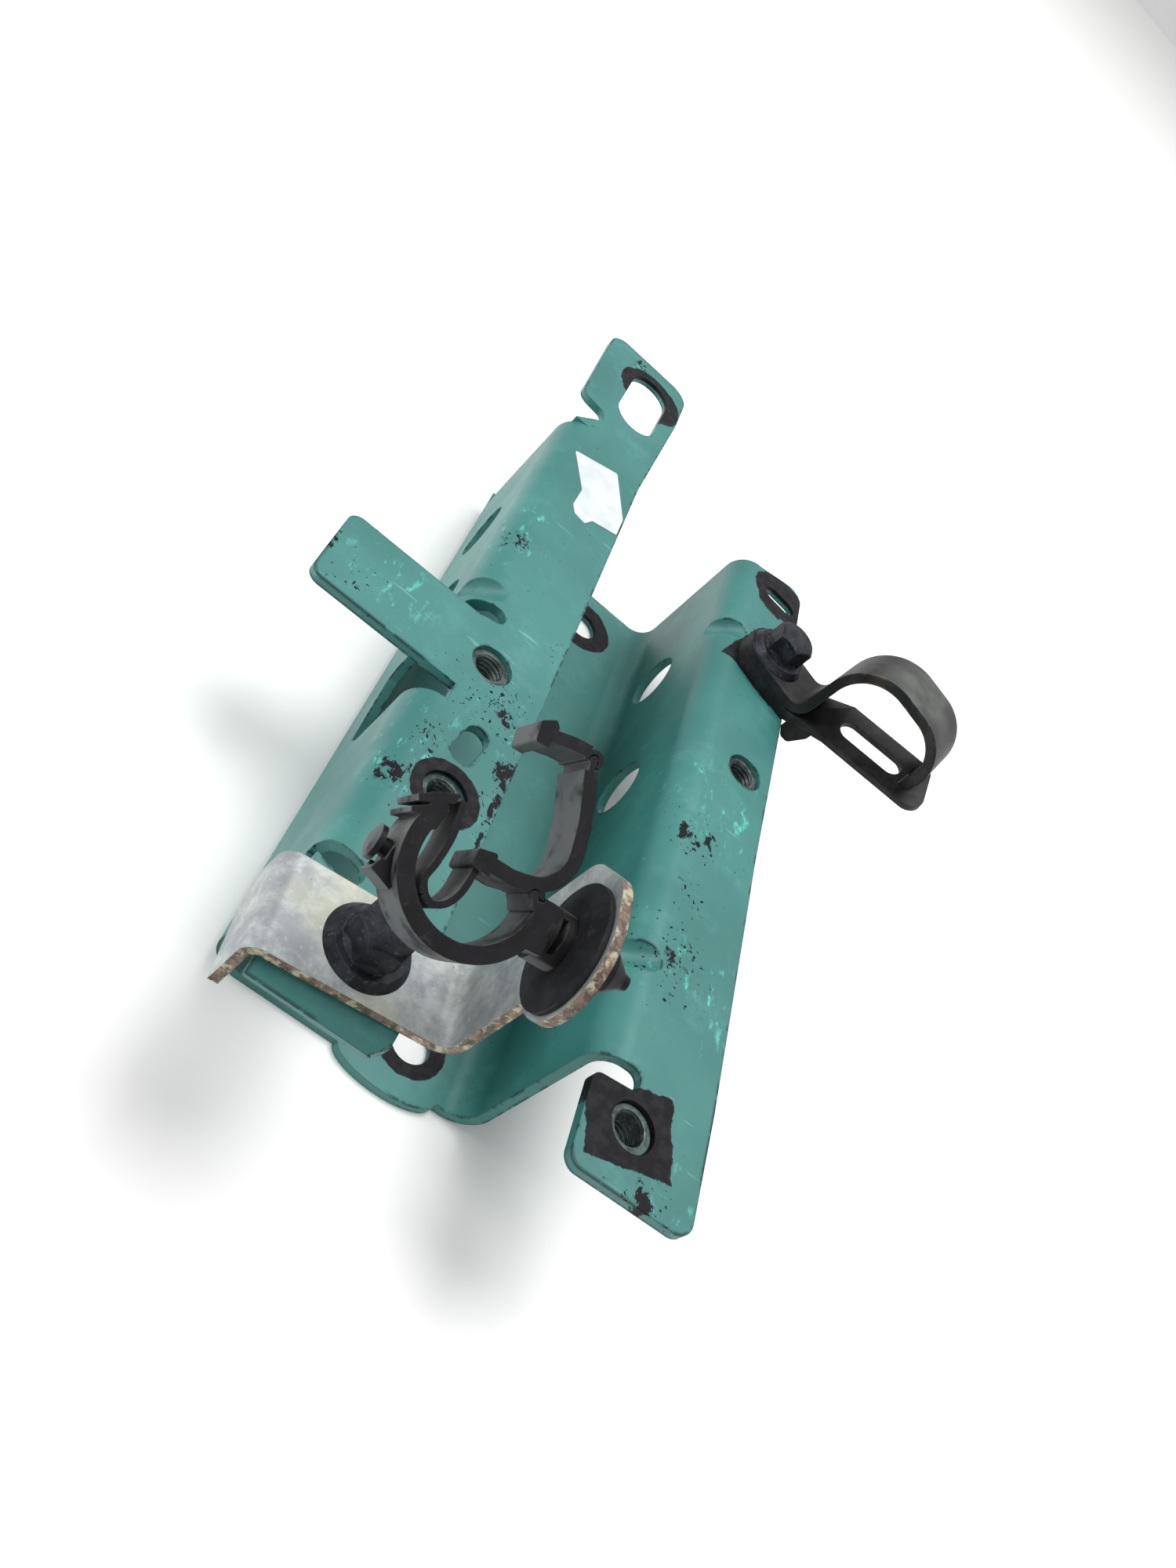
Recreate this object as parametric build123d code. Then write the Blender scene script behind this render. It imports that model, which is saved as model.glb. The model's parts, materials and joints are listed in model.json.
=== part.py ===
from build123d import *
from math import cos, radians, sin
import os

# Pressed-steel mounting bracket carrying a bolted band clip and a plastic pipe clip.
# X runs across the bracket, Y along it, Z up; millimetres.
# The origin is the centre of the near base hole, on the underside of the base.

os.makedirs("parts", exist_ok=True)

# ---- pressed bracket -------------------------------------------------------
SHEET = 3.0                 # sheet thickness
HEIGHT = 62.0               # underside of base to top of flanges
MID = SHEET / 2
LEFT_WALL = -59.5           # outer face of the left wall
RIGHT_WALL = 23.0           # inner face of the right wall
FLANGE_BEND = 7.5           # middle-line radius of the flange bends
BASE_BEND = 9.0             # middle-line radius of the base bends
BASE_NEAR = -12.5
BASE_FAR = 224.0
LEFT_WALL_FAR = 215.5
LEFT_EDGE = -24.8           # free edge of the left flange
EAR_EDGE = -21.2
EAR_FAR = 289.0
LIP_START = -40.0           # near end of the left flange turns down here
LIP_END = -49.5
LIP_DROP = 3.2
NEAR_EAR_END = -45.7
TAB_LEFT = -97.5
TAB_Y = (59.0, 89.5)
HOLE_R = 6.6                # clearance for the collar of an M10 weld nut
WALL_HOLE_R = 10.5
WALL_HOLES_RIGHT = ((175.0, 24.0), (112.5, 25.5))
WALL_HOLES_LEFT = ((168.0, 31.0), (119.0, 32.0))
BASE_HOLE_R = 6.5
FAR_BASE_HOLE = (-3.0, 204.5)
EAR_SLOT = (-36.5, 257.5)
EAR_SLOT_LENGTH = 40.0
EAR_SLOT_WIDTH = 17.0

# ---- threaded places, all M10 ----------------------------------------------
NUT_PLACES = {
    "weld_nut_left_upper": (-43.2, 74.7),
    "weld_nut_left_middle": (-39.2, 23.4),
    "weld_nut_left_near": (-40.2, -31.5),
    "weld_nut_right_near": (37.4, -27.7),
    "weld_nut_right_middle": (45.8, 113.1),
    "weld_nut_right_far": (43.0, 168.6),
}
THREAD_ROOT_R = 4.3
NUT_FLATS = 16.0
NUT_HEIGHT = 9.0
NUT_COLLAR = 1.6
BOLT_FLANGE_R = 10.9
BOLT_FLATS = 13.4
BOLT_HEAD = 10.5
BOLT_LENGTH = 20.0

# ---- zinc-plated angle bracket ---------------------------------------------
ZINC = 2.5
ZINC_YAW = 6.5
ZINC_WIDTH = 26.5
ZINC_ARM = 24.5             # left face of the upright arm, from the bolt
ZINC_LIP = -22.2            # inner face of the turned-down lip, from the bolt
LIP_LENGTH = 16.0
TAB_R = 15.6
CLIP_Y = -7.5               # clip axis, from the bracket's middle line
CLIP_Z = 44.0               # clip axis above the flange

# ---- plastic clip, u from the arm's face, v across, width along the pipe ----
CLIP_TILT = 30.0
CLIP_WIDTH = 12.0
JAW_AT = (25.7, 2.0)
JAW_R = 16.5
JAW_INNER_R = 12.9
JAW_HINGE = (14.2, 4.4)
LATCH_HINGE = (16.0, 33.6)
PIN_R = 0.9
HOOK_R = 2.1
WASHER_R = 14.4
ANCHOR_HOLE_R = 4.2

# ---- band clip -------------------------------------------------------------
BAND_YAW = -24.0
BAND_WIDTH = 23.0
BAND = 3.5
LEG = 4.0
ARCH_LEFT = 20.3            # middle line of the loop, from the bolt
ARCH_RIGHT = 60.4
ARCH_TOP = 40.4             # above the flange
LEG_START = 31.0            # where the leg's tilted plate begins, from the bolt
LEG_LIFT = 11.0             # middle of the plate there, above the flange
LEG_OFFSET = -1.4
LEG_RISE = 0.27             # climb along the clip
LEG_LEAN = 0.31             # climb across it
LEG_WIDTH = 21.0
LEG_SHEET = 2.4
LEG_LENGTH = 41.0


def strip(points, radii, thickness):
    """Face in XY of a bent sheet that follows a middle line of straight runs."""
    sides = ([], [])
    corner = ([], [])
    path = [Vector(*p) for p in points]
    for i, here in enumerate(path):
        before = (here - path[i - 1]).normalized() if i else None
        after = (path[i + 1] - here).normalized() if i + 1 < len(path) else None
        along = before if after is None else after if before is None else (before + after).normalized()
        reach = thickness / 2
        if before is not None and after is not None:
            reach = reach / along.dot(after)
        normal = Vector(-along.Y, along.X)
        sides[0].append(here + normal * reach)
        sides[1].append(here - normal * reach)
        turn = 0
        if before is not None and after is not None:
            turn = 1 if before.cross(after).Z > 0 else -1
            radius = radii[i - 1]
            corner[0].append(max(radius - turn * thickness / 2, 0))
            corner[1].append(max(radius + turn * thickness / 2, 0))
        else:
            corner[0].append(0)
            corner[1].append(0)
    outline = sides[0] + sides[1][::-1]
    return make_face(FilletPolyline(*outline, radius=corner[0] + corner[1][::-1], close=True))


def outline_face(points, radii):
    """Face in XY from a closed outline; radii is one number or one for each corner."""
    if isinstance(radii, (int, float)):
        radii = [radii] * len(points)
    return make_face(FilletPolyline(*points, radius=radii, close=True))


def arc_face(centre, inner, outer, start, sweep):
    """Face in XY of part of a ring, angles in degrees."""
    def at(radius, angle):
        return (centre[0] + radius * cos(radians(angle)), centre[1] + radius * sin(radians(angle)))
    end = start + sweep
    middle = start + sweep / 2
    edges = [
        ThreePointArc(at(outer, start), at(outer, middle), at(outer, end)),
        Line(at(outer, end), at(inner, end)),
        ThreePointArc(at(inner, end), at(inner, middle), at(inner, start)),
        Line(at(inner, start), at(outer, start)),
    ]
    return make_face(edges)


def plate(points, radii, bottom, thickness):
    """Flat sheet with a vertical outline in XY."""
    return Pos(0, 0, bottom) * extrude(outline_face(points, radii), thickness)


def across(face, start, end):
    """Solid from a face drawn in X and Z, between two Y values."""
    return Plane.XZ * Pos(0, 0, -end) * extrude(face, end - start)


def along_x(face, start, end):
    """Solid from a face drawn in Y and Z, between two X values."""
    return Plane.YZ * Pos(0, 0, start) * extrude(face, end - start)


def hole(x, y, radius, bottom=-50.0, height=200.0):
    return Pos(x, y, bottom + height / 2) * Cylinder(radius, height)


def slot(x, y, length, width, angle, bottom, height):
    return Pos(x, y, bottom) * extrude(Rot(0, 0, angle) * SlotOverall(length, width), height)


def write(name, shape):
    if isinstance(shape, (list, ShapeList)):
        shape = Compound(children=list(shape))
    export_step(shape, f"parts/{name}.step")


# ---- main bracket ----------------------------------------------------------
def channel():
    """Left flange bend, left wall, base, right wall and right flange bend of one folded sheet."""
    left = LEFT_WALL + MID
    right = RIGHT_WALL + MID
    top = HEIGHT - MID
    line = [(left + FLANGE_BEND + 0.5, top), (left, top), (left, MID), (right, MID), (right, top),
            (right + FLANGE_BEND + 0.5, top)]
    body = across(strip(line, [FLANGE_BEND, BASE_BEND, BASE_BEND, FLANGE_BEND], SHEET), BASE_NEAR, BASE_FAR)
    far_left = Pos(-60, LEFT_WALL_FAR + 10, 50) * Box(30, 20, 80)
    lobe = Pos(-3, BASE_NEAR, MID) * extrude(Ellipse(16, 5.6), MID, both=True)
    return body - far_left + lobe


def left_flange():
    """Flat of the left flange with its far ear, near overhang and turned-down near lip."""
    top = HEIGHT - SHEET
    inner = LEFT_WALL + MID + FLANGE_BEND + 0.5
    flat = plate(
        [(inner, LIP_START), (LEFT_EDGE, LIP_START), (LEFT_EDGE, 205), (EAR_EDGE, 262), (EAR_EDGE, EAR_FAR),
         (LEFT_WALL, EAR_FAR), (LEFT_WALL, 233.5), (-49.0, 232.0), (-47.5, 226.5), (-57.0, LEFT_WALL_FAR),
         (inner, LEFT_WALL_FAR)],
        [0, 0, 30, 60, 8, 7, 5, 2.6, 2.6, 0, 0], top, SHEET)
    overhang = plate([(LEFT_WALL, LIP_START), (inner, LIP_START), (inner, BASE_NEAR), (LEFT_WALL, BASE_NEAR)],
                     [0, 0, 0, 3], top, SHEET)
    line = [(LIP_START + 0.4, top + MID), (LIP_START, top + MID), (LIP_END, top + MID - LIP_DROP)]
    lip = along_x(strip(line, [0.2], SHEET), LEFT_WALL, LEFT_EDGE)
    corner = Pos(LEFT_EDGE, LIP_END, top) * Rot(0, 0, 45) * Box(4.5, 4.5, 30)
    return [flat, overhang, lip - corner]


def right_flange():
    """Flat of the right flange and its near ear."""
    inner = RIGHT_WALL + MID + FLANGE_BEND + 0.5
    return plate(
        [(inner, BASE_NEAR), (36.5, BASE_NEAR), (36.5, -18.5), (RIGHT_WALL, -20.0), (RIGHT_WALL, NEAR_EAR_END),
         (59.8, NEAR_EAR_END), (59.6, -10), (56.6, 80), (55.8, 150), (53.2, 229.5), (inner, BASE_FAR)],
        [0, 2.8, 2.8, 3, 4, 5, 60, 60, 60, 6, 0], HEIGHT - SHEET, SHEET)


def side_tab():
    """Tab lanced out of the left wall and left level with the flange."""
    low, high = TAB_Y
    return plate([(TAB_LEFT, low), (-50, low), (-50, high), (TAB_LEFT, high)], [4, 0, 0, 4],
                 HEIGHT - SHEET, SHEET)


def wall_window():
    """Opening that the tab's blank leaves in the left wall and its bend."""
    low, high = TAB_Y
    face = outline_face([(low - 7, 24), (high, 24), (high, 70), (low - 7, 70)], [8, 5, 0, 0])
    return along_x(face, LEFT_WALL - 5, -50.0)


def gusset(x, y):
    """Stiffening dent pressed across a flange bend: the cut outside and the metal pushed inside."""
    axis = Pos(x + 1.9, y, HEIGHT - 1.9) * Rot(0, 45, 0)
    dent = axis * Cylinder(5.0, 44)
    back = axis * Cylinder(5.0 + SHEET, 44)
    top = HEIGHT - MID
    corner = outline_face([(x + MID, top - 20), (x + MID, top), (x + MID + 20, top), (x + MID + 20, top - 20)],
                          [0, FLANGE_BEND, 0, 0])
    inside = across(corner, y - 15, y + 15)
    return dent, back & inside


def main_bracket():
    body = channel()
    for piece in left_flange():
        body = body + piece
    body = body + right_flange()
    body = body - wall_window() + side_tab()
    for x, y in ((LEFT_WALL, 103.0), (RIGHT_WALL, 178.0), (RIGHT_WALL, 21.0)):
        dent, back = gusset(x, y)
        body = body + back - dent
    top = HEIGHT - SHEET
    cuts = [hole(x, y, HOLE_R, top - 1, SHEET + 2) for x, y in NUT_PLACES.values()]
    cuts.append(hole(0, 0, BASE_HOLE_R, -2, 8))
    cuts.append(hole(*FAR_BASE_HOLE, BASE_HOLE_R, -2, 8))
    cuts.append(slot(*EAR_SLOT, EAR_SLOT_LENGTH, EAR_SLOT_WIDTH, 88, top - 1, SHEET + 2))
    cuts.append(slot(-52.0, 93.5, 13, 6.5, 12, top - 3, SHEET + 6))
    cuts.append(slot(-39.0, 43.0, 16, 7.2, 78, top - 1, SHEET + 2))
    cuts.append(slot(-54.5, -13.0, 15, 8, -20, top - 8, SHEET + 12))
    cuts.append(slot(44.2, 213.5, 14, 6.5, -8, top - 1, SHEET + 2))
    for y, z in WALL_HOLES_RIGHT:
        cuts.append(Pos(RIGHT_WALL, y, z) * Rot(0, 90, 0) * Cylinder(WALL_HOLE_R, 20))
    for y, z in WALL_HOLES_LEFT:
        cuts.append(Pos(LEFT_WALL, y, z) * Rot(0, 90, 0) * Cylinder(WALL_HOLE_R, 20))
    for cut in cuts:
        body = body - cut
    return body


# ---- fasteners -------------------------------------------------------------
def weld_nut(x, y):
    """Hexagonal weld nut under a flange, its collar up in the flange hole."""
    bottom = HEIGHT - SHEET
    hexagon = extrude(RegularPolygon(NUT_FLATS / 2, 6, major_radius=False), NUT_HEIGHT)
    body = Pos(0, 0, -NUT_HEIGHT) * hexagon
    body = body + Pos(0, 0, NUT_COLLAR / 2) * Cylinder(HOLE_R, NUT_COLLAR)
    body = body - Pos(0, 0, -NUT_HEIGHT / 2) * Cylinder(THREAD_ROOT_R, 3 * NUT_HEIGHT)
    return Pos(x, y, bottom) * body


def flange_bolt(x, y, seat, turn):
    """Hexagon bolt with a pressed flange; the shank is drawn at its thread root."""
    head = extrude(RegularPolygon(BOLT_FLATS / 2, 6, major_radius=False), BOLT_HEAD)
    cone = Cone(BOLT_FLATS * 0.62, BOLT_FLATS * 0.49, 3.0, align=(Align.CENTER, Align.CENTER, Align.MIN))
    skirt = Cone(BOLT_FLANGE_R, BOLT_FLANGE_R - 1.6, 2.6, align=(Align.CENTER, Align.CENTER, Align.MIN))
    crown = Cone(BOLT_FLATS * 0.75, BOLT_FLATS * 0.42, BOLT_HEAD * 0.3,
                 align=(Align.CENTER, Align.CENTER, Align.MIN))
    cap = Pos(0, 0, BOLT_HEAD * 0.75) * crown + Pos(0, 0, 0) * Cylinder(
        BOLT_FLATS * 0.75, BOLT_HEAD * 0.75, align=(Align.CENTER, Align.CENTER, Align.MIN))
    head = (head & cap) + skirt + Pos(0, 0, 1.2) * cone
    shank = Cylinder(THREAD_ROOT_R, BOLT_LENGTH, align=(Align.CENTER, Align.CENTER, Align.MAX))
    return Pos(x, y, seat) * Rot(0, 0, turn) * (head + shank)


# ---- zinc-plated angle bracket ---------------------------------------------
def zinc_frame():
    x, y = NUT_PLACES["weld_nut_left_near"]
    return Pos(x, y, HEIGHT) * Rot(0, 0, ZINC_YAW)


def zinc_angle():
    """Strap over the left flange: lip down on the left, arm with a round end up on the right."""
    half = ZINC_WIDTH / 2
    mid = ZINC / 2
    line = [(ZINC_LIP - mid, -LIP_LENGTH), (ZINC_LIP - mid, mid), (ZINC_ARM + mid, mid), (ZINC_ARM + mid, CLIP_Z)]
    strap = across(strip(line, [3.2, 5.0], ZINC), -half, half)
    lip_corner = Pos(ZINC_LIP, half, -LIP_LENGTH) * Rot(45, 0, 0) * Box(12, 9, 9)
    strap = strap - lip_corner
    end = outline_face([(half, CLIP_Z - 16), (half, CLIP_Z + 5), (CLIP_Y + 9, CLIP_Z + TAB_R),
                        (CLIP_Y, CLIP_Z + TAB_R), (CLIP_Y - 6, CLIP_Z - 6), (-half, CLIP_Z - 13),
                        (-half, CLIP_Z - 20)], [0, 9, 10, 0, 0, 0, 0])
    tab = along_x(end, ZINC_ARM, ZINC_ARM + ZINC)
    disc = Pos(ZINC_ARM + mid, CLIP_Y, CLIP_Z) * Rot(0, 90, 0) * Cylinder(TAB_R, ZINC)
    strap = strap - Pos(ZINC_ARM, half, CLIP_Z) * Box(10, 0.02, 0.02)
    body = strap + tab + disc
    body = body - Pos(ZINC_ARM, CLIP_Y, CLIP_Z) * Rot(0, 90, 0) * Cylinder(ANCHOR_HOLE_R, 20)
    body = body - Cylinder(5.6, 20)
    return zinc_frame() * body


# ---- plastic pipe clip -----------------------------------------------------
def clip_place():
    """Frame whose X is u, Y is v and Z runs along the pipe; the origin is on the arm's face."""
    return zinc_frame() * Pos(ZINC_ARM, CLIP_Y, CLIP_Z) * Rot(0, 0, 180) * Rot(180 - CLIP_TILT, 0, 0)


def clip_solid(face, half=CLIP_WIDTH / 2):
    return clip_place() * Pos(0, 0, -half) * extrude(face, 2 * half)


def umbrella_washer():
    """Dished rubber washer pressed against the arm."""
    profile = make_face(Polyline((0.05, 3.4), (0.05, 5.9), (0.9, 7.0), (0.9, 11.0), (0.0, WASHER_R - 0.8), (0.25, WASHER_R),
                                 (1.3, WASHER_R), (2.5, 10.0), (2.7, 5.0), (2.7, 3.4), close=True))
    return clip_place() * revolve(profile, Axis.X)


def push_in_anchor():
    """Stem through the arm with two rings of barbs behind it."""
    points = [(2.7, 0), (2.7, 3.4), (-0.1, 3.4), (-2.6, 3.4), (-2.7, 6.2), (-4.2, 6.0), (-6.0, 3.6), (-7.2, 3.4),
              (-7.6, 5.4), (-9.0, 5.0), (-13.0, 2.0), (-14.5, 1.6), (-14.5, 0)]
    return clip_place() * revolve(make_face(Polyline(*points, close=True)), Axis.X)


def hinge_pin(place, down):
    """Round pin on a short neck, at a hinge between two plastic arms."""
    pin = clip_solid(make_face(Pos(*place) * Circle(PIN_R)))
    neck = clip_solid(make_face(Pos(*place) * Rot(0, 0, down) * Pos(1.7, 0) * Rectangle(2.6, 1.3)))
    return pin + neck


def hinge_hook(place, start, sweep):
    """Open ring that holds a hinge pin."""
    return clip_solid(arc_face(place, PIN_R + 0.25, HOOK_R, start, sweep))


def hinge_room(place):
    return clip_solid(make_face(Pos(*place) * Circle(HOOK_R + 0.35)), CLIP_WIDTH)


def clip_lower_jaw():
    """Collar on the washer, round jaw, hinge pin and the two-finned hook at its end."""
    jaw = clip_solid(arc_face(JAW_AT, JAW_INNER_R, JAW_R, 172, 213))
    collar = clip_place() * Pos(5.6, 0, 0) * Rot(0, 90, 0) * Cylinder(6.2, 5.8)
    window = clip_place() * Pos(5.6, 0, -3.5) * Box(1.6, 7.6, 8)
    root = clip_solid(outline_face([(7.5, -5.2), (13.0, -5.6), (12.7, 2.3), (14.6, 2.5), (14.6, 4.0),
                                    (12.2, 4.9), (7.5, 4.9)], [0, 0, 0.4, 0.4, 0.4, 0.5, 0]))
    root = root - hinge_room(JAW_HINGE) + hinge_pin(JAW_HINGE, -120)
    post = clip_solid(outline_face([(37.6, 4.6), (41.6, 5.8), (40.2, 10.8), (37.4, 10.0)], 0.6))
    fins = [clip_solid(outline_face([(36.2, 13.4), (36.9, 10.9), (43.2, 7.9), (43.9, 9.0), (40.6, 11.4)],
                                    [0.3, 0.4, 0.2, 0.2, 0.6])),
            clip_solid(outline_face([(36.7, 9.7), (38.0, 7.2), (43.4, 5.4), (43.9, 6.4), (40.8, 8.4)],
                                    [0.3, 0.4, 0.2, 0.2, 0.6]))]
    boss = clip_place() * Pos(40.6, -4.6, 0) * Rot(0, 0, 20) * Box(5.2, 6.4, 6.6)
    inside = clip_solid(make_face(Pos(*JAW_AT) * Circle(JAW_INNER_R + 0.2)), CLIP_WIDTH)
    stud_seat = clip_place() * Pos(45.4, -1.6, 0) * Rot(0, 90, 0) * Cylinder(4.2, 6.0)
    body = jaw + root + post + fins[0] + fins[1] + (boss - inside - stud_seat)
    return body + (collar - window)


def clip_upper_jaw():
    """Upper jaw with its stop block, the ring of its own hinge and the pin of the latch arm's."""
    line = [(26.6, 5.0), (20.0, 4.9), (8.4, 7.8), (11.6, 22.0), (15.6, 31.6)]
    jaw = clip_solid(strip(line, [6.0, 8.2, 30.0], 3.0))
    block = clip_solid(outline_face([(24.2, 2.6), (28.4, 2.9), (28.6, 6.4), (24.4, 7.4)], 0.7))
    jaw = jaw - hinge_room(LATCH_HINGE) - clip_solid(make_face(Pos(*JAW_HINGE) * Circle(HOOK_R - 0.2)), CLIP_WIDTH)
    return jaw + block + hinge_pin(LATCH_HINGE, -104) + hinge_hook(JAW_HINGE, -5, 190)


def clip_latch_arm():
    """Short arm with the block that hooks over the lower jaw's fins."""
    line = [(17.4, 34.6), (21.0, 34.2), (26.4, 32.9)]
    arm = clip_solid(strip(line, [6.0], 2.6))
    block = clip_solid(outline_face([(25.6, 30.4), (28.6, 30.2), (29.4, 34.4), (26.6, 36.2), (25.4, 35.0)], 0.6))
    arm = arm - clip_solid(make_face(Pos(*LATCH_HINGE) * Circle(HOOK_R - 0.2)), CLIP_WIDTH)
    return arm + block + hinge_hook(LATCH_HINGE, -25, 235)


def clip_strap():
    """Springy strap that presses on the pipe inside the lower jaw."""
    line = [(35.0, 12.6), (33.6, 3.0), (35.6, -5.0), (28.6, -7.2), (27.8, 1.6)]
    return clip_solid(strip(line, [8.0, 2.2, 2.2], 1.5), 10.4)


def clip_button():
    """Mushroom stud on the back of the lower jaw."""
    profile = make_face(Polyline((42.4, 0), (42.4, 2.0), (44.2, 1.7), (44.4, 3.6), (45.6, 3.6), (46.2, 2.2), (46.4, 0),
                                 close=True))
    return clip_place() * Pos(0, -1.6, 0) * revolve(profile, Axis.X)


# ---- band clip -------------------------------------------------------------
def band_frame():
    x, y = NUT_PLACES["weld_nut_right_far"]
    return Pos(x, y, HEIGHT) * Rot(0, 0, BAND_YAW)


def rounded_pad(bottom, thickness, half):
    """Round left end of a pad under the bolt."""
    return Pos(0, 0, bottom + thickness / 2) * Cylinder(half, thickness)


def band_clip_band():
    """Upper strap: pad under the bolt, riser and arch, and a tongue hooked through the leg."""
    half = BAND_WIDTH / 2
    mid = LEG + BAND / 2
    line = [(0, mid), (ARCH_LEFT, mid), (ARCH_LEFT, ARCH_TOP), (ARCH_RIGHT, ARCH_TOP), (ARCH_RIGHT, 25.2)]
    loop = across(strip(line, [6.0, 17.0, 14.8], BAND), -half, half)
    left = ARCH_RIGHT - BAND / 2
    right = ARCH_RIGHT + BAND / 2
    tongue = across(outline_face([(left, 27), (right, 27), (right, 14.5), (left, 14.5)], [0, 0, 1, 1]),
                    LEG_OFFSET - 4.5, LEG_OFFSET + 4.5)
    body = loop + tongue + rounded_pad(LEG, BAND, half)
    return band_frame() * (body - Cylinder(5.6, 40))


def leg_plate_frame(s):
    """Middle of the leg's leaning plate, s along the clip from the bolt; X runs up the plate."""
    middle = (s, LEG_OFFSET, LEG_LIFT + LEG_RISE * (s - LEG_START))
    return Plane(origin=middle, x_dir=(1, 0, LEG_RISE), z_dir=(-LEG_RISE, -LEG_LEAN, 1)).location


def twisted_block(near_end, far_end):
    """Solid between two four-cornered ends, each side folded into two flat triangles."""
    faces = [make_face(Polyline(*near_end, close=True)), make_face(Polyline(*far_end, close=True))]
    for i in range(4):
        j = (i + 1) % 4
        faces.append(make_face(Polyline(near_end[i], near_end[j], far_end[i], close=True)))
        faces.append(make_face(Polyline(near_end[j], far_end[j], far_end[i], close=True)))
    return Solid(Shell([face.face() for face in faces]))


def band_clip_leg():
    """Lower leg: pad, twisted rise, slotted plate with a window for the tongue, and a stop lug."""
    half = BAND_WIDTH / 2
    body = across(outline_face([(0, 0), (17.5, 0), (17.5, LEG), (0, LEG)], 0), -half, half)
    body = body + rounded_pad(0, LEG, half)
    side = LEG_WIDTH / 2
    near_end = [(17.2, -half, 0), (17.2, half, 0), (17.2, half, LEG), (17.2, -half, LEG)]
    far_end = [tuple((leg_plate_frame(LEG_START) * Pos(0.4, y, z)).position)
               for y, z in ((-side, -LEG_SHEET / 2), (side, -LEG_SHEET / 2), (side, LEG_SHEET / 2), (-side, LEG_SHEET / 2))]
    body = body + twisted_block(near_end, far_end)
    end = LEG_LENGTH
    outline = outline_face([(0, -side), (end, -side), (end - 7, side), (0, side)], [0, 5.5, 4, 0])
    body = body + leg_plate_frame(LEG_START) * extrude(outline, LEG_SHEET / 2, both=True)
    body = body - leg_plate_frame(44.5) * extrude(SlotOverall(25.0, 8.0), 12, both=True)
    body = body - Pos(ARCH_RIGHT, LEG_OFFSET, 22) * Box(BAND + 0.6, 9.6, 30)
    lug = across(outline_face([(19.9, 3.0), (28.8, 7.0), (28.8, 3.5), (25.6, -3.4), (22.5, -3.8), (19.9, -1.0)],
                              [0, 0, 3, 2, 2, 1]), -half, -half + 3.0)
    return band_frame() * ((body + lug) - Cylinder(5.6, 40))


# ---- label -----------------------------------------------------------------
def label():
    """Torn paper label on the left flange, without any writing."""
    points = [(-51.4, 196.1), (-34.3, 203.2), (-25.6, 181.4), (-25.6, 171.2), (-35.2, 167.8), (-37.3, 163.4),
              (-41.7, 164.4), (-43.6, 168.2), (-43.1, 178.9)]
    return plate(points, 0.8, HEIGHT, 0.25)


def main():
    write("main_bracket", main_bracket())
    for name, (x, y) in NUT_PLACES.items():
        write(name, weld_nut(x, y))
    near = NUT_PLACES["weld_nut_left_near"]
    far = NUT_PLACES["weld_nut_right_far"]
    write("flange_bolt_near", flange_bolt(*near, HEIGHT + ZINC, 12))
    write("flange_bolt_far", flange_bolt(*far, HEIGHT + LEG + BAND, 38))
    write("zinc_angle", zinc_angle())
    write("umbrella_washer", umbrella_washer())
    write("push_in_anchor", push_in_anchor())
    write("clip_lower_jaw", clip_lower_jaw())
    write("clip_upper_jaw", clip_upper_jaw())
    write("clip_latch_arm", clip_latch_arm())
    write("clip_strap", clip_strap())
    write("clip_button", clip_button())
    write("band_clip_band", band_clip_band())
    write("band_clip_leg", band_clip_leg())
    write("label", label())


main()
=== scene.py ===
import bpy
import json
import math
from mathutils import Matrix, Vector


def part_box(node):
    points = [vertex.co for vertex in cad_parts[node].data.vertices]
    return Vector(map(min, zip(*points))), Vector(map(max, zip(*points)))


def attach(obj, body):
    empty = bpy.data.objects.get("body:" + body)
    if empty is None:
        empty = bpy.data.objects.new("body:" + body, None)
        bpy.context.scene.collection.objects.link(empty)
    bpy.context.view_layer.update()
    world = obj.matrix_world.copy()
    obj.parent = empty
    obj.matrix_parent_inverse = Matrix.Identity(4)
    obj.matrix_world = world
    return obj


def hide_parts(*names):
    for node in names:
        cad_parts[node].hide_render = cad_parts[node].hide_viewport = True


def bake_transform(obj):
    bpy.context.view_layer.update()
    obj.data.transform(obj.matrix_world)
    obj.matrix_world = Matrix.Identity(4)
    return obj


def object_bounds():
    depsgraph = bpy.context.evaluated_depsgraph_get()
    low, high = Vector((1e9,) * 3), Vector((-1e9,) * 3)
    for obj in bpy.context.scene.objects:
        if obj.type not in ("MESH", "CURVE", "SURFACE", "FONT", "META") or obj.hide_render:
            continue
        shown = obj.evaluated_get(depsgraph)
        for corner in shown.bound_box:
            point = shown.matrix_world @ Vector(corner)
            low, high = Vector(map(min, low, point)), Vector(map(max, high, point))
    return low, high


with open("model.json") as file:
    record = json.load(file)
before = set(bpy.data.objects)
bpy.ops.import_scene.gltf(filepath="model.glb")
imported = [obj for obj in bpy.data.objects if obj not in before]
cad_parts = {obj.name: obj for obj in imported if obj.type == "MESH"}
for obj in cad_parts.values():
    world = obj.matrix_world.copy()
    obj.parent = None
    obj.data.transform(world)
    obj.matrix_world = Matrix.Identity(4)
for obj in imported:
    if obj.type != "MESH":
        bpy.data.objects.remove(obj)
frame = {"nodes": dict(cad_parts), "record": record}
cad_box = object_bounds()

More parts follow.
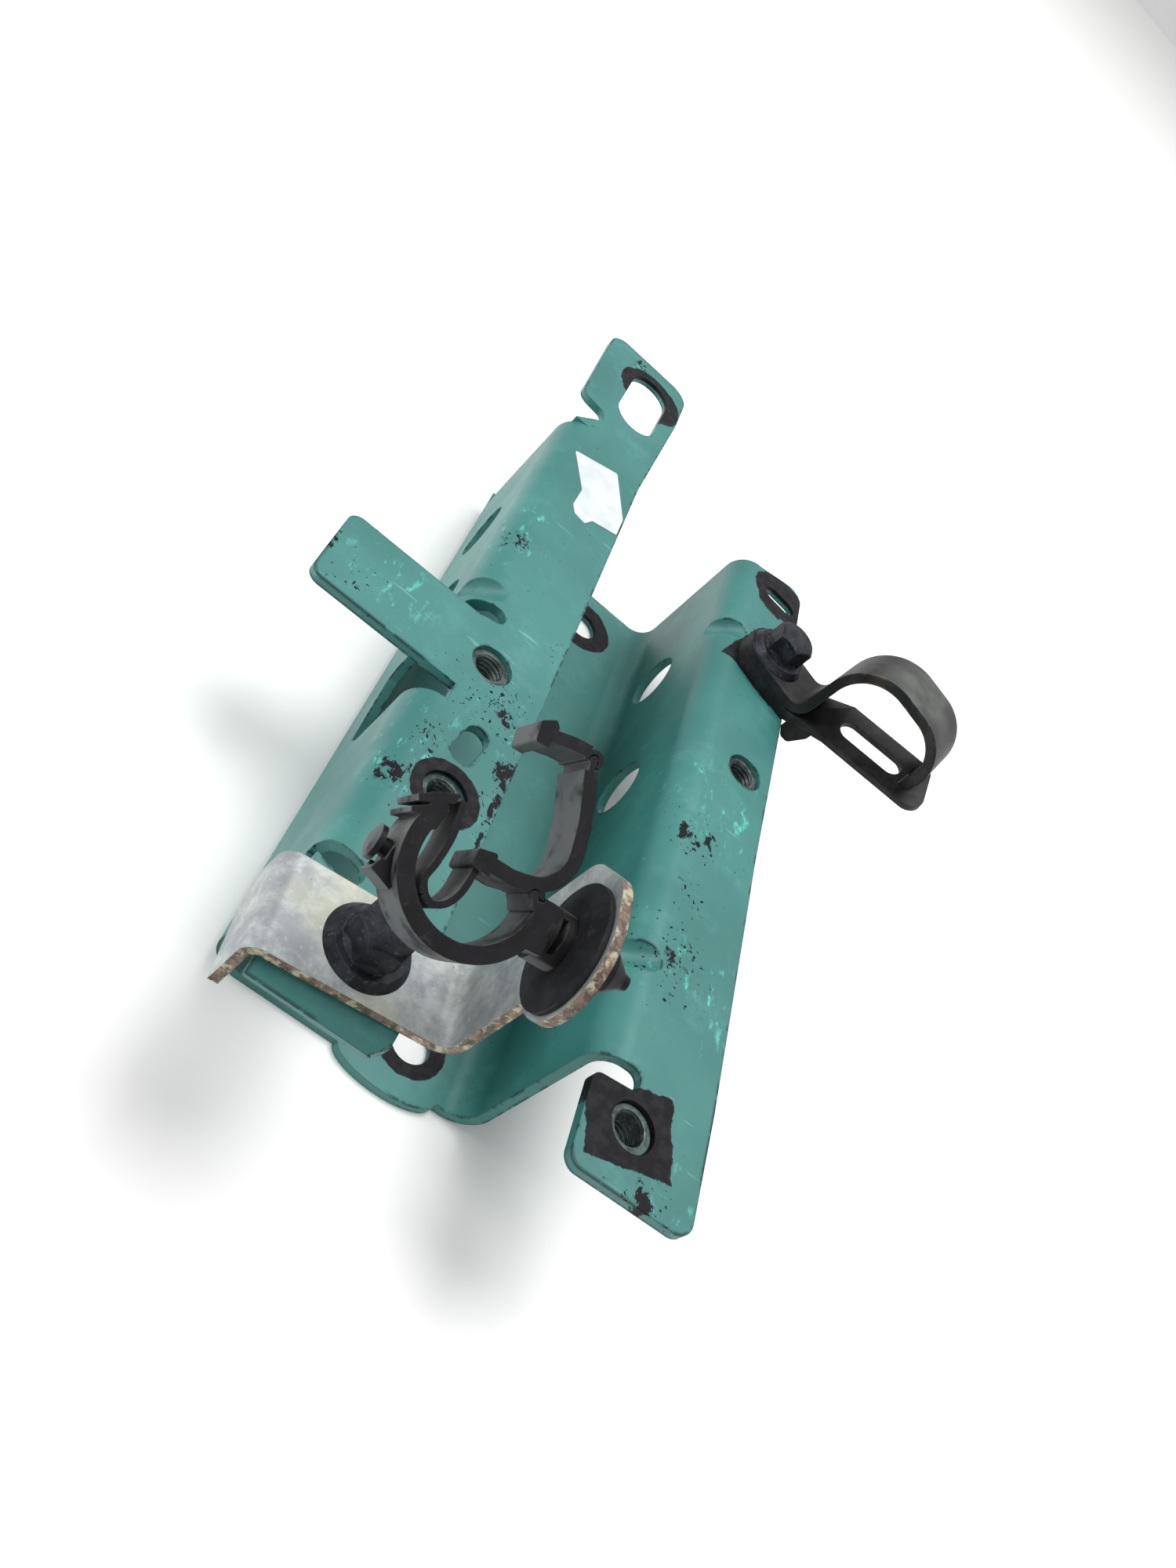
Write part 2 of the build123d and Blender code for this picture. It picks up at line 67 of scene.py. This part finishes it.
MM = 0.001
TOP = 62 * MM                 # top of the bracket's flanges
NUTS = {name: (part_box(name)[0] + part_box(name)[1]) / 2 for name in frame["nodes"] if name.startswith("weld_nut")}
JOINTS = {joint["name"]: joint for joint in frame["record"]["behaviour"]["joints"]}
CLIP_AT = Vector(JOINTS["clip_swivel"]["pos_m"])
CLIP_U = Vector(JOINTS["clip_swivel"]["axis"])
CLIP_W = Vector(JOINTS["jaw_hinge"]["axis"])
CLIP_V = CLIP_W.cross(CLIP_U)
THREAD_ROOT = 4.3 * MM
THREAD_DEPTH = 0.62 * MM
PITCH = 1.5 * MM
BOLT_ROOT = 4.32 * MM         # just proud of the plain shank
BOLT_TIP = 3.9 * MM
STRAP_WIDTH = 10.2            # millimetres, like STRAP_SHEET
STRAP_SHEET = 1.4
STRAP_LOW = (33.4, -6.1)      # (u, v) where the strap's two lengths meet
STRAP_END = (26.8, 3.4)       # its end on the upper jaw


# ---- colours, written as they are seen ---------------------------------------
def seen(red, green, blue):
    """Linear colour from the 0 to 255 values seen on a screen."""
    def linear(v):
        v = v / 255
        return v / 12.92 if v <= 0.04045 else ((v + 0.055) / 1.055) ** 2.4
    return (linear(red), linear(green), linear(blue), 1.0)


# ---- node graphs ---------------------------------------------------------------
class Graph:
    """A procedural material under construction: the drawing methods return an output socket."""

    def __init__(self, name, **constants):
        self.material = bpy.data.materials.new(name)
        self.material.use_nodes = True
        self.tree = self.material.node_tree
        self.surface = self.tree.nodes["Principled BSDF"]
        for key, value in constants.items():
            self.surface.inputs[key.replace("_", " ")].default_value = value
        self.place = self.tree.nodes.new("ShaderNodeTexCoord").outputs["Object"]

    def add(self, kind, *inputs, **settings):
        node = self.tree.nodes.new(kind)
        for key, value in settings.items():
            setattr(node, key, value)
        for socket, value in zip(node.inputs, inputs):
            self.put(socket, value)
        return node

    def put(self, socket, value):
        if value is None:
            return
        if isinstance(value, bpy.types.NodeSocket):
            self.tree.links.new(value, socket)
        else:
            socket.default_value = value

    def math(self, operation, a, b=0.0, clamp=False):
        return self.add("ShaderNodeMath", a, b, operation=operation, use_clamp=clamp).outputs[0]

    def vector(self, operation, a, b):
        node = self.add("ShaderNodeVectorMath", a, b, operation=operation)
        return node.outputs["Value" if operation in ("LENGTH", "DOT_PRODUCT", "DISTANCE") else "Vector"]

    def noise(self, size, detail=4.0, roughness=0.55, stretch=(1, 1, 1)):
        """Noise of about that feature size in metres, stretched along an axis by its factor."""
        scale = tuple(1 / s for s in stretch)
        place = self.vector("MULTIPLY", self.place, scale)
        node = self.add("ShaderNodeTexNoise", place)
        node.inputs["Scale"].default_value = 1 / size
        node.inputs["Detail"].default_value = detail
        node.inputs["Roughness"].default_value = roughness
        return node.outputs[0]

    def step(self, value, low, high):
        """Smooth 0 to 1 as value goes from low to high."""
        node = self.add("ShaderNodeMapRange", value, low, high, 0.0, 1.0, interpolation_type="SMOOTHSTEP")
        return node.outputs[0]

    def mix(self, factor, a, b):
        node = self.tree.nodes.new("ShaderNodeMix")
        node.data_type = "RGBA"
        self.put(node.inputs[0], factor)
        self.put(node.inputs[6], a)
        self.put(node.inputs[7], b)
        return node.outputs[2]

    def highest(self, values):
        result = values[0]
        for value in values[1:]:
            result = self.math("MAXIMUM", result, value)
        return result

    def near(self, centre, radius, softness=0.3):
        """1 at centre, falling to 0 at radius."""
        distance = self.vector("DISTANCE", self.place, centre)
        return self.step(distance, radius, radius * (1 - softness))

    def patches(self, places, softness):
        """1 at the middle of each ((x, y), radius) patch of the flanges, falling to 0 at its rim."""
        return self.highest([self.near(at(*place), radius * MM, softness) for place, radius in places])

    def disc(self, centre, radius, wobble=0.0, ragged=None):
        """1 inside a vertical disc about centre, with an edge that wobbles."""
        flat = self.vector("MULTIPLY", self.vector("SUBTRACT", self.place, centre), (1, 1, 0))
        distance = self.vector("LENGTH", flat, None)
        if wobble:
            distance = self.math("ADD", distance, self.math("MULTIPLY", ragged, wobble))
        inside = self.step(distance, radius + 0.2 * MM, radius - 0.2 * MM)
        level = self.vector("DOT_PRODUCT", self.vector("SUBTRACT", self.place, centre), (0, 0, 1))
        return self.math("MULTIPLY", inside, self.step(self.math("ABSOLUTE", level), 1.6 * MM, 1.2 * MM))

    def block(self, centre, size, turn, wobble=0.0, ragged=None):
        """1 inside a box turned about Z by an angle in degrees."""
        node = self.add("ShaderNodeMapping", self.vector("SUBTRACT", self.place, centre))
        node.inputs["Rotation"].default_value = (0, 0, -math.radians(turn))
        away = self.vector("ABSOLUTE", node.outputs[0], None)
        parts = self.add("ShaderNodeSeparateXYZ", away)
        worst = self.highest([self.math("SUBTRACT", parts.outputs[i], size[i] / 2) for i in range(3)])
        if wobble:
            worst = self.math("ADD", worst, self.math("MULTIPLY", ragged, wobble))
        return self.step(worst, 0.2 * MM, -0.2 * MM)

    def edges(self, radius, low=0.02, high=0.12):
        """1 on sharp edges within radius, 0 on flats."""
        soft = self.tree.nodes.new("ShaderNodeBevel")
        soft.samples = 4
        soft.inputs["Radius"].default_value = radius
        true = self.tree.nodes.new("ShaderNodeNewGeometry").outputs["Normal"]
        bend = self.math("SUBTRACT", 1.0, self.vector("DOT_PRODUCT", soft.outputs[0], true))
        return self.step(bend, low, high)

    def bump(self, layers, round_off=0.0):
        """Bump from (height, strength, distance) layers, on normals rounded off at edges."""
        normal = None
        if round_off:
            soft = self.tree.nodes.new("ShaderNodeBevel")
            soft.samples = 4
            soft.inputs["Radius"].default_value = round_off
            normal = soft.outputs[0]
        for height, strength, distance in layers:
            node = self.tree.nodes.new("ShaderNodeBump")
            node.inputs["Strength"].default_value = strength
            node.inputs["Distance"].default_value = distance
            self.put(node.inputs["Height"], height)
            self.put(node.inputs["Normal"], normal)
            normal = node.outputs[0]
        self.put(self.surface.inputs["Normal"], normal)

    def finish(self, color, roughness, metallic=None):
        self.put(self.surface.inputs["Base Color"], color)
        self.put(self.surface.inputs["Roughness"], roughness)
        self.put(self.surface.inputs["Metallic"], metallic)
        return self.material


def at(x, y, z=62.0):
    return (x * MM, y * MM, z * MM)


# ---- where the paint has suffered: ((x, y), radius) on the flanges, in millimetres -------
RUBBED = (((-50, 30), 26), ((-80, 74), 22), ((48, 20), 26), ((-36, 270), 26), ((-52, 140), 22), ((40, 90), 30),
          ((-30, 60), 20), ((50, -40), 18))
SPECKLED = (((-36, 62), 26), ((36, 24), 26), ((-54, 131), 13), ((-50, 36), 13), ((-53, 18), 11), ((35, 70), 15),
            ((-28, 30), 12), ((36, 50), 12), ((-86, 66), 12), ((45, -44), 15), ((-45, 280), 10), ((-26, 100), 9))
FLAKED = (((-50, 36), 12), ((-53, 18), 10), ((35, 72), 16), ((-54, 131), 12), ((-36, 62), 11), ((-27, 40), 11),
          ((-44, 282), 9), ((-95, 74), 12), ((44, -45), 10), ((38, 26), 8))
KNOCKED = (((38, -46), 22), ((-97, 62), 20), ((-75, 59), 20), ((-36, 288), 14), ((57, -20), 18), ((-56, -49), 16))
BASE_TOP = 3.0                # millimetres above the underside
ZINC_YAW = math.radians(6.5)  # turn of the zinc angle about Z
ZINC_HEAD = 94 * MM           # above this height the zinc arm's edge is its round head


# ---- materials -----------------------------------------------------------------
def green_paint():
    """Satin green paint: fine darker mottling, scuffs, chips, worn edges and bare washer rings."""
    g = Graph("green_paint", Specular_IOR_Level=0.5)
    broad = g.noise(60 * MM, 5)
    fine = g.noise(2.2 * MM, 6, 0.65)
    ragged = g.math("SUBTRACT", g.noise(4 * MM, 4), 0.5)
    color = g.mix(g.step(broad, 0.35, 0.68), seen(45, 107, 102), seen(57, 123, 117))
    color = g.mix(g.math("MULTIPLY", g.step(g.noise(14 * MM, 6, 0.7), 0.5, 0.75), 0.35), color, seen(86, 148, 142))
    color = g.mix(g.math("MULTIPLY", g.step(fine, 0.55, 0.8), 0.25), color, seen(42, 96, 92))
    # turquoise scuffs where pipes and tools have rubbed
    rubbed = g.patches(RUBBED, 0.8)
    streaks = g.step(g.noise(3.2 * MM, 8, 0.75, (1, 2.6, 1)), 0.56, 0.66)
    color = g.mix(g.math("MULTIPLY", g.math("MULTIPLY", streaks, rubbed), 0.85), color, seen(84, 192, 178))
    # scratches, long and thin
    scratch = g.step(g.noise(1.6 * MM, 2, 0.5, (9, 1, 1)), 0.70, 0.74)
    scratch = g.math("MULTIPLY", scratch, g.step(broad, 0.45, 0.6))
    color = g.mix(g.math("MULTIPLY", scratch, 0.5), color, seen(112, 170, 162))
    # chips down to dark primer
    hit = g.patches(SPECKLED, 0.9)
    speck = g.noise(1.5 * MM, 3, 0.5)
    chips = g.step(g.math("ADD", speck, g.math("MULTIPLY", hit, 0.12)), 0.735, 0.755)
    flaked = g.patches(FLAKED, 0.9)
    flake = g.math("ADD", g.noise(4.5 * MM, 7, 0.72, (1, 1.5, 1)), g.math("MULTIPLY", flaked, 0.20))
    flake = g.step(flake, 0.715, 0.722)
    knocked = g.patches(KNOCKED, 0.5)
    wear = g.math("ADD", g.noise(7 * MM, 6, 0.7), g.math("MULTIPLY", knocked, 0.14))
    worn = g.math("MULTIPLY", g.edges(1.6 * MM, 0.012, 0.05), g.step(wear, 0.53, 0.57))
    line_block = g.block(at(-26.2, 30), (1.6 * MM, 34 * MM, 8 * MM), 0, 5 * MM, ragged)
    edge_line = g.math("MULTIPLY", line_block, g.step(g.noise(3.5 * MM, 5, 0.7), 0.46, 0.49))
    chips = g.highest([chips, flake, worn, edge_line])
    # bare, dark rings and patches left by washers and brackets
    rings = [
        g.disc(at(0, 0, BASE_TOP), 11 * MM, 2 * MM, ragged),
        g.disc(at(-3, 204.5, BASE_TOP), 13 * MM, 2 * MM, ragged),
        g.disc(at(-39.2, 23.4), 10.3 * MM, 1.6 * MM, ragged),
        g.disc(at(-35.5, 267.5), 14.5 * MM, 3 * MM, ragged),
        g.disc(at(44, 215), 12.5 * MM, 5 * MM, ragged),
        g.block(at(36.3, -27.6), (26 * MM, 22 * MM, 8 * MM), 13, 3 * MM, ragged),
        g.block(at(43, 168.6), (25 * MM, 25 * MM, 3 * MM), -24, 3 * MM, ragged),
    ]
    bare = g.highest(rings)
    dark = g.mix(g.step(g.noise(3 * MM, 5), 0.4, 0.65), seen(20, 20, 24), seen(36, 35, 39))
    color = g.mix(bare, color, dark)
    color = g.mix(chips, color, seen(24, 23, 27))
    rough = g.math("ADD", 0.36, g.math("MULTIPLY", g.noise(20 * MM, 4), 0.22))
    gone = g.math("MAXIMUM", bare, chips)
    g.put(g.surface.inputs["Specular IOR Level"], g.math("SUBTRACT", 0.5, g.math("MULTIPLY", gone, 0.38)))
    height = g.math("SUBTRACT", 1.0, gone)
    g.bump([(height, 0.5, 0.12 * MM), (g.noise(0.9 * MM, 2), 0.12, 0.05 * MM), (g.noise(12 * MM, 3), 0.10, 0.4 * MM)],
           0.7 * MM)
    return g.finish(color, rough)


def zinc_plate():
    """Dull, mottled zinc with yellowed patches and rust on the sheared edges."""
    g = Graph("zinc_plate")
    color = g.mix(g.step(g.noise(9 * MM, 6, 0.7), 0.4, 0.66), seen(146, 151, 154), seen(182, 187, 187))
    color = g.mix(g.math("MULTIPLY", g.step(g.noise(26 * MM, 4), 0.45, 0.7), 0.5), color, seen(184, 184, 158))
    color = g.mix(g.math("MULTIPLY", g.step(g.noise(2 * MM, 5, 0.7), 0.62, 0.72), 0.5), color, seen(226, 224, 200))
    color = g.mix(g.math("MULTIPLY", g.step(g.noise(1.1 * MM, 3), 0.70, 0.74), 0.8), color, seen(92, 88, 80))
    normal = g.tree.nodes.new("ShaderNodeNewGeometry").outputs["Normal"]
    sideways = g.math("ABSOLUTE", g.vector("DOT_PRODUCT", normal, (-math.sin(ZINC_YAW), math.cos(ZINC_YAW), 0)))
    across = g.math("ABSOLUTE", g.vector("DOT_PRODUCT", normal, (math.cos(ZINC_YAW), math.sin(ZINC_YAW), 0)))
    height = g.vector("DOT_PRODUCT", g.place, (0, 0, 1))
    rim = g.math("MULTIPLY", g.step(across, 0.6, 0.5), g.step(height, ZINC_HEAD, ZINC_HEAD + 1 * MM))
    cut = g.math("MAXIMUM", g.step(sideways, 0.5, 0.6), rim)
    rust = g.mix(g.step(g.noise(2.4 * MM, 6, 0.75), 0.38, 0.62), seen(62, 54, 48), seen(122, 100, 80))
    rust = g.mix(g.step(g.noise(3.5 * MM, 5, 0.7), 0.48, 0.62), rust, seen(176, 170, 146))
    color = g.mix(cut, color, rust)
    metal = g.math("MULTIPLY", g.math("SUBTRACT", 1.0, cut), 0.75)
    rough = g.math("ADD", 0.42, g.math("MULTIPLY", g.noise(5 * MM, 5), 0.25))
    g.bump([(g.noise(1.2 * MM, 4), 0.25, 0.1 * MM), (g.math("MULTIPLY", cut, g.noise(0.8 * MM, 4, 0.8)), 0.6, 0.25 * MM)],
           0.35 * MM)
    return g.finish(color, rough, metal)


def dark_metal(name, low, high, worn, rough, metal, grain=1.4):
    """Dark coated steel with brighter worn edges."""
    g = Graph(name, Metallic=metal, Specular_IOR_Level=0.25)
    color = g.mix(g.step(g.noise(6 * MM, 6, 0.65), 0.38, 0.66), low, high)
    color = g.mix(g.math("MULTIPLY", g.step(g.noise(1.0 * MM, 4), 0.60, 0.70), 0.5), color, worn)
    rub = g.math("MULTIPLY", g.edges(0.6 * MM), g.step(g.noise(5 * MM, 5, 0.7), 0.5, 0.62))
    color = g.mix(g.math("MULTIPLY", rub, 0.8), color, worn)
    g.bump([(g.noise(grain * MM, 5, 0.6), 0.3, 0.12 * MM)], 0.4 * MM)
    return g.finish(color, g.math("ADD", rough, g.math("MULTIPLY", g.noise(4 * MM, 4), 0.2)))


def band_steel():
    """Dark phosphated band, paler on its outside and bronze where the front edge has rubbed."""
    g = Graph("band_steel", Metallic=0.35, Specular_IOR_Level=0.3)
    color = g.mix(g.step(g.noise(9 * MM, 6, 0.65), 0.38, 0.66), seen(28, 28, 29), seen(50, 50, 50))
    low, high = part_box("band_clip_band")
    arch = Vector(((low.x + high.x) / 2 + 6 * MM, (low.y + high.y) / 2, high.z))
    top = g.near(tuple(arch), 34 * MM, 0.7)
    normal = g.tree.nodes.new("ShaderNodeNewGeometry").outputs["Normal"]
    up = g.vector("DOT_PRODUCT", normal, (0.45, -0.2, 0.87))
    pale = g.math("MULTIPLY", g.math("MULTIPLY", top, g.step(up, 0.2, 0.75)), 0.85)
    color = g.mix(pale, color, g.mix(g.step(g.noise(12 * MM, 4), 0.35, 0.7), seen(74, 76, 74), seen(104, 106, 104)))
    rub = g.math("MULTIPLY", g.edges(1.2 * MM), g.step(g.noise(6 * MM, 6, 0.7), 0.50, 0.60))
    color = g.mix(g.math("MULTIPLY", g.math("MULTIPLY", rub, top), 0.9), color, seen(150, 120, 84))
    g.bump([(g.noise(1.2 * MM, 5, 0.6), 0.25, 0.1 * MM)], 0.5 * MM)
    return g.finish(color, g.math("ADD", 0.38, g.math("MULTIPLY", g.noise(6 * MM, 4), 0.25)))


def moulded(name, low, high, rough, dusty, rubbed=0.0):
    """Moulded black plastic or rubber with fine texture and grey dust, greyer where pipes have rubbed it."""
    g = Graph(name, Specular_IOR_Level=0.2)
    color = g.mix(g.step(g.noise(7 * MM, 5, 0.6), 0.4, 0.66), low, high)
    color = g.mix(g.math("MULTIPLY", g.step(g.noise(2.5 * MM, 6, 0.7), 0.56, 0.72), dusty), color, seen(72, 71, 70))
    rub = g.math("MULTIPLY", g.edges(0.4 * MM), g.step(g.noise(4 * MM, 5), 0.45, 0.6))
    color = g.mix(g.math("MULTIPLY", rub, 0.35), color, seen(96, 95, 94))
    if rubbed:
        normal = g.tree.nodes.new("ShaderNodeNewGeometry").outputs["Normal"]
        broadside = g.math("ABSOLUTE", g.vector("DOT_PRODUCT", normal, tuple(CLIP_W)))
        worn = g.math("MULTIPLY", g.step(broadside, 0.6, 0.4), g.step(g.noise(9 * MM, 5, 0.6), 0.34, 0.56))
        color = g.mix(g.math("MULTIPLY", worn, rubbed), color, seen(92, 95, 96))
    g.bump([(g.noise(0.5 * MM, 3), 0.15, 0.05 * MM), (g.noise(4 * MM, 3), 0.12, 0.2 * MM)], 0.3 * MM)
    return g.finish(color, g.math("ADD", rough, g.math("MULTIPLY", g.noise(5 * MM, 4), 0.18)))


def paper():
    g = Graph("paper_label")
    color = g.mix(g.step(g.noise(8 * MM, 5), 0.4, 0.7), seen(206, 213, 217), seen(190, 198, 202))
    color = g.mix(g.math("MULTIPLY", g.step(g.noise(1.5 * MM, 5), 0.62, 0.75), 0.3), color, seen(170, 180, 178))
    g.bump([(g.noise(5 * MM, 3, 0.5, (1, 2.5, 1)), 0.35, 0.3 * MM), (g.noise(0.3 * MM, 2), 0.1, 0.03 * MM)])
    return g.finish(color, 0.62)


def floor_finish():
    g = Graph("pale_floor")
    color = g.mix(g.noise(200 * MM, 3), seen(244, 244, 243), seen(248, 248, 247))
    return g.finish(color, 0.75)


MATERIALS = {
    "green_paint": green_paint(),
    "zinc_plate": zinc_plate(),
    "dark_steel": dark_metal("dark_steel", seen(52, 62, 62), seen(92, 108, 106), seen(150, 154, 150), 0.34, 0.6),
    "black_bolt": dark_metal("black_bolt", seen(26, 27, 31), seen(50, 53, 58), seen(92, 96, 100), 0.36, 0.45),
    "band_steel": band_steel(),
    "black_rubber": moulded("black_rubber", seen(18, 19, 22), seen(32, 33, 36), 0.6, 0.3),
    "black_plastic": moulded("black_plastic", seen(8, 8, 11), seen(19, 19, 23), 0.5, 0.30, 0.8),
    "paper_label": paper(),
}
SLOTS = {row["node"]: row["material_slot"] for row in frame["record"]["subparts"]}
for name, node in frame["nodes"].items():
    node.data.materials.clear()
    node.data.materials.append(MATERIALS[SLOTS[name]])


# ---- pieces ----------------------------------------------------------------------
def bend_piece(name, points, faces, slot, smooth=30):
    """A mesh object with no body yet, smooth across edges flatter than that many degrees."""
    mesh = bpy.data.meshes.new(name)
    mesh.from_pydata(points, [], faces)
    mesh.materials.append(MATERIALS[slot])
    made = bpy.data.objects.new(name, mesh)
    bpy.context.scene.collection.objects.link(made)
    mesh.shade_smooth()
    mesh.set_sharp_from_angle(angle=math.radians(smooth))
    return made


def piece(name, points, faces, body, slot, smooth=30):
    """A mesh object that moves with one body."""
    made = bend_piece(name, points, faces, slot, smooth)
    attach(made, body)
    return made


def thread_grid(centre, bottom, top, radius, depth, outward, around=72, rows_per_pitch=8):
    """Points and faces of a screw thread: radius is its crest in a nut or its root on a bolt."""
    rows = max(2, int((top - bottom) / PITCH * rows_per_pitch))
    points, faces = [], []
    for row in range(rows + 1):
        z = bottom + (top - bottom) * row / rows
        for step in range(around):
            angle = 2 * math.pi * step / around
            phase = (z / PITCH - step / around) % 1.0
            ridge = min(1.0, max(0.0, 1.25 - 2.5 * abs(phase - 0.5)))
            r = radius + depth * (ridge if outward else 1 - ridge)
            points.append((centre[0] + r * math.cos(angle), centre[1] + r * math.sin(angle), z))
    for row in range(rows):
        for step in range(around):
            a = row * around + step
            b = row * around + (step + 1) % around
            faces.append((a, b, b + around, a + around) if outward else (a, a + around, b + around, b))
    return points, faces, rows


def threaded_nut(name, centre):
    """Hexagonal weld nut with chamfered corners, a collar in the flange hole and a real thread."""
    low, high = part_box(name)
    around = 72
    seat = TOP - 3 * MM
    flats = (high.y - low.y) / 2
    collar = 6.6 * MM

    def hexagon(angle):
        nearest = math.radians(60) * round((angle - math.radians(30)) / math.radians(60)) + math.radians(30)
        return flats / math.cos(angle - nearest)

    points, faces, rows = thread_grid(centre, low.z, high.z, THREAD_ROOT, THREAD_DEPTH, False, around)
    lead = THREAD_ROOT + THREAD_DEPTH + 0.25 * MM

    def ring(radius_at, z):
        first = len(points)
        for step in range(around):
            angle = 2 * math.pi * step / around
            r = radius_at(angle)
            points.append((centre[0] + r * math.cos(angle), centre[1] + r * math.sin(angle), z))
        return first

    chamfer = flats * 1.03
    loops = [rows * around,
             ring(lambda a: lead, high.z),
             ring(lambda a: collar - 0.3 * MM, high.z),
             ring(lambda a: collar, high.z - 0.3 * MM),
             ring(lambda a: collar, seat),
             ring(lambda a: hexagon(a) - 0.15 * MM, seat),
             ring(hexagon, seat - 0.2 * MM),
             ring(hexagon, low.z + 1.0 * MM),
             ring(lambda a: min(hexagon(a), chamfer), low.z + 0.35 * MM),
             ring(lambda a: flats * 0.97, low.z),
             ring(lambda a: lead, low.z),
             0]
    for outer, inner in zip(loops, loops[1:]):
        for step in range(around):
            after = (step + 1) % around
            faces.append((outer + step, outer + after, inner + after, inner + step)[::-1])
    made = piece(name + "_threaded", points, faces, "bracket", "dark_steel")
    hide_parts(name)


def bolt_thread(name, centre, top):
    """The stretch of screw thread that stands out below a nut."""
    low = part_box(name)[0]
    points, faces, _ = thread_grid(centre, low.z + 0.6 * MM, top, BOLT_ROOT, 0.5 * MM, True)
    cap = len(points)
    for step in range(72):
        angle = 2 * math.pi * step / 72
        x = centre[0] + BOLT_TIP * math.cos(angle)
        y = centre[1] + BOLT_TIP * math.sin(angle)
        points.append((x, y, low.z - 0.01 * MM))
    for step in range(72):
        after = (step + 1) % 72
        faces.append((cap + step, cap + after, after, step))
    faces.append(tuple(cap + step for step in range(71, -1, -1)))
    piece(name + "_thread", points, faces, "bracket", "black_bolt")


for nut, centre in NUTS.items():
    if nut not in ("weld_nut_left_near", "weld_nut_right_far"):
        threaded_nut(nut, centre)
for bolt, nut in (("flange_bolt_near", "weld_nut_left_near"), ("flange_bolt_far", "weld_nut_right_far")):
    bolt_thread(bolt, NUTS[nut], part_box(nut)[0].z - 0.05 * MM)


def clip_ribbon(line, thickness, width):
    """A springy strip of the plastic clip along a middle line of (u, v) points in millimetres."""
    points, faces = [], []
    half = width * MM / 2
    for i, here in enumerate(line):
        before = Vector(line[max(i - 1, 0)])
        after = Vector(line[min(i + 1, len(line) - 1)])
        along = (after - before).normalized()
        side = Vector((-along.y, along.x)) * thickness / 2
        for sign, w in ((1, -half), (1, half), (-1, half), (-1, -half)):
            u, v = (Vector(here) + side * sign) * MM
            points.append(CLIP_AT + CLIP_U * u + CLIP_V * v + CLIP_W * w)
    for row in range(0, 4 * (len(line) - 1), 4):
        for k in range(4):
            nxt = (k + 1) % 4
            faces.append((row + k, row + nxt, row + 4 + nxt, row + 4 + k))
    last = len(points) - 4
    faces += [(3, 2, 1, 0), (last, last + 1, last + 2, last + 3)]
    return points, faces


def curve(points, steps=7):
    """Smooth line through points, with the given number of steps between neighbours."""
    made = []
    ends = [points[0], *points, points[-1]]
    for a, b, c, d in zip(ends, ends[1:], ends[2:], ends[3:]):
        for i in range(steps):
            t = i / steps
            made.append(tuple(0.5 * (2 * b[k] + (c[k] - a[k]) * t + (2 * a[k] - 5 * b[k] + 4 * c[k] - d[k]) * t * t
                                     + (3 * b[k] - a[k] - 3 * c[k] + d[k]) * t ** 3) for k in (0, 1)))
    return made + [points[-1]]


def clip_strap():
    """The strap in two lengths that meet under the jaw: one that moves with the clip, one left loose with no body."""
    fixed = [(35.0, 12.6), (33.9, 6.0), (34.2, 0.0), (34.8, -3.6), STRAP_LOW]
    loose = [STRAP_LOW, (31.2, -7.0), (28.6, -5.4), (27.1, -1.8), STRAP_END]
    points, faces = clip_ribbon(curve(fixed), STRAP_SHEET, STRAP_WIDTH)
    fixed_strip = piece("clip_strap_fixed", points, faces, "clip", "black_plastic", 40)
    points, faces = clip_ribbon(curve(loose), STRAP_SHEET, STRAP_WIDTH)
    loose_strip = bend_piece("clip_strap_loose", points, faces, "black_plastic", 40)
    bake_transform(loose_strip)
    for strip in (fixed_strip, loose_strip):
        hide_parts("clip_strap")


clip_strap()


# ---- stage -------------------------------------------------------------------------
def stage():
    mesh = bpy.data.meshes.new("floor")
    side = 6.0
    mesh.from_pydata([(-side, -side, 0), (side, -side, 0), (side, side, 0), (-side, side, 0)], [], [(0, 1, 2, 3)])
    mesh.materials.append(floor_finish())
    floor = bpy.data.objects.new("floor", mesh)
    bpy.context.scene.collection.objects.link(floor)
    floor.location.z = cad_box[0].z - 0.05 * MM


def lamp(name, place, target, size, power):
    light = bpy.data.lights.new(name, "AREA")
    light.shape = "DISK"
    light.size = size
    light.energy = power
    made = bpy.data.objects.new(name, light)
    bpy.context.scene.collection.objects.link(made)
    made.location = place
    made.rotation_euler = (Vector(target) - Vector(place)).to_track_quat("-Z", "Y").to_euler()


def lights():
    world = bpy.data.worlds.new("studio")
    world.use_nodes = True
    world.node_tree.nodes["Background"].inputs["Color"].default_value = (1, 1, 1, 1)
    world.node_tree.nodes["Background"].inputs["Strength"].default_value = 0.6
    bpy.context.scene.world = world
    lamp("overhead", (0.5, 1.1, 4.0), (0, 0.1, 0), 2.8, 138)
    lamp("left", (-2.2, -0.1, 1.5), (0, 0.1, 0.05), 1.4, 30)


def camera():
    """The photograph's viewpoint: low over the near end, turned and rolled."""
    data = bpy.data.cameras.new("camera")
    data.sensor_fit = "AUTO"
    data.sensor_width = 36
    data.lens = 29.7
    data.clip_start = 0.01
    made = bpy.data.objects.new("camera", data)
    bpy.context.scene.collection.objects.link(made)
    made.location = (-0.102, -0.203, 0.281)
    made.rotation_euler = tuple(math.radians(a) for a in (38.712, -38.030, 17.109))
    bpy.context.scene.camera = made


stage()
lights()
camera()
bpy.context.scene.view_settings.view_transform = "Standard"
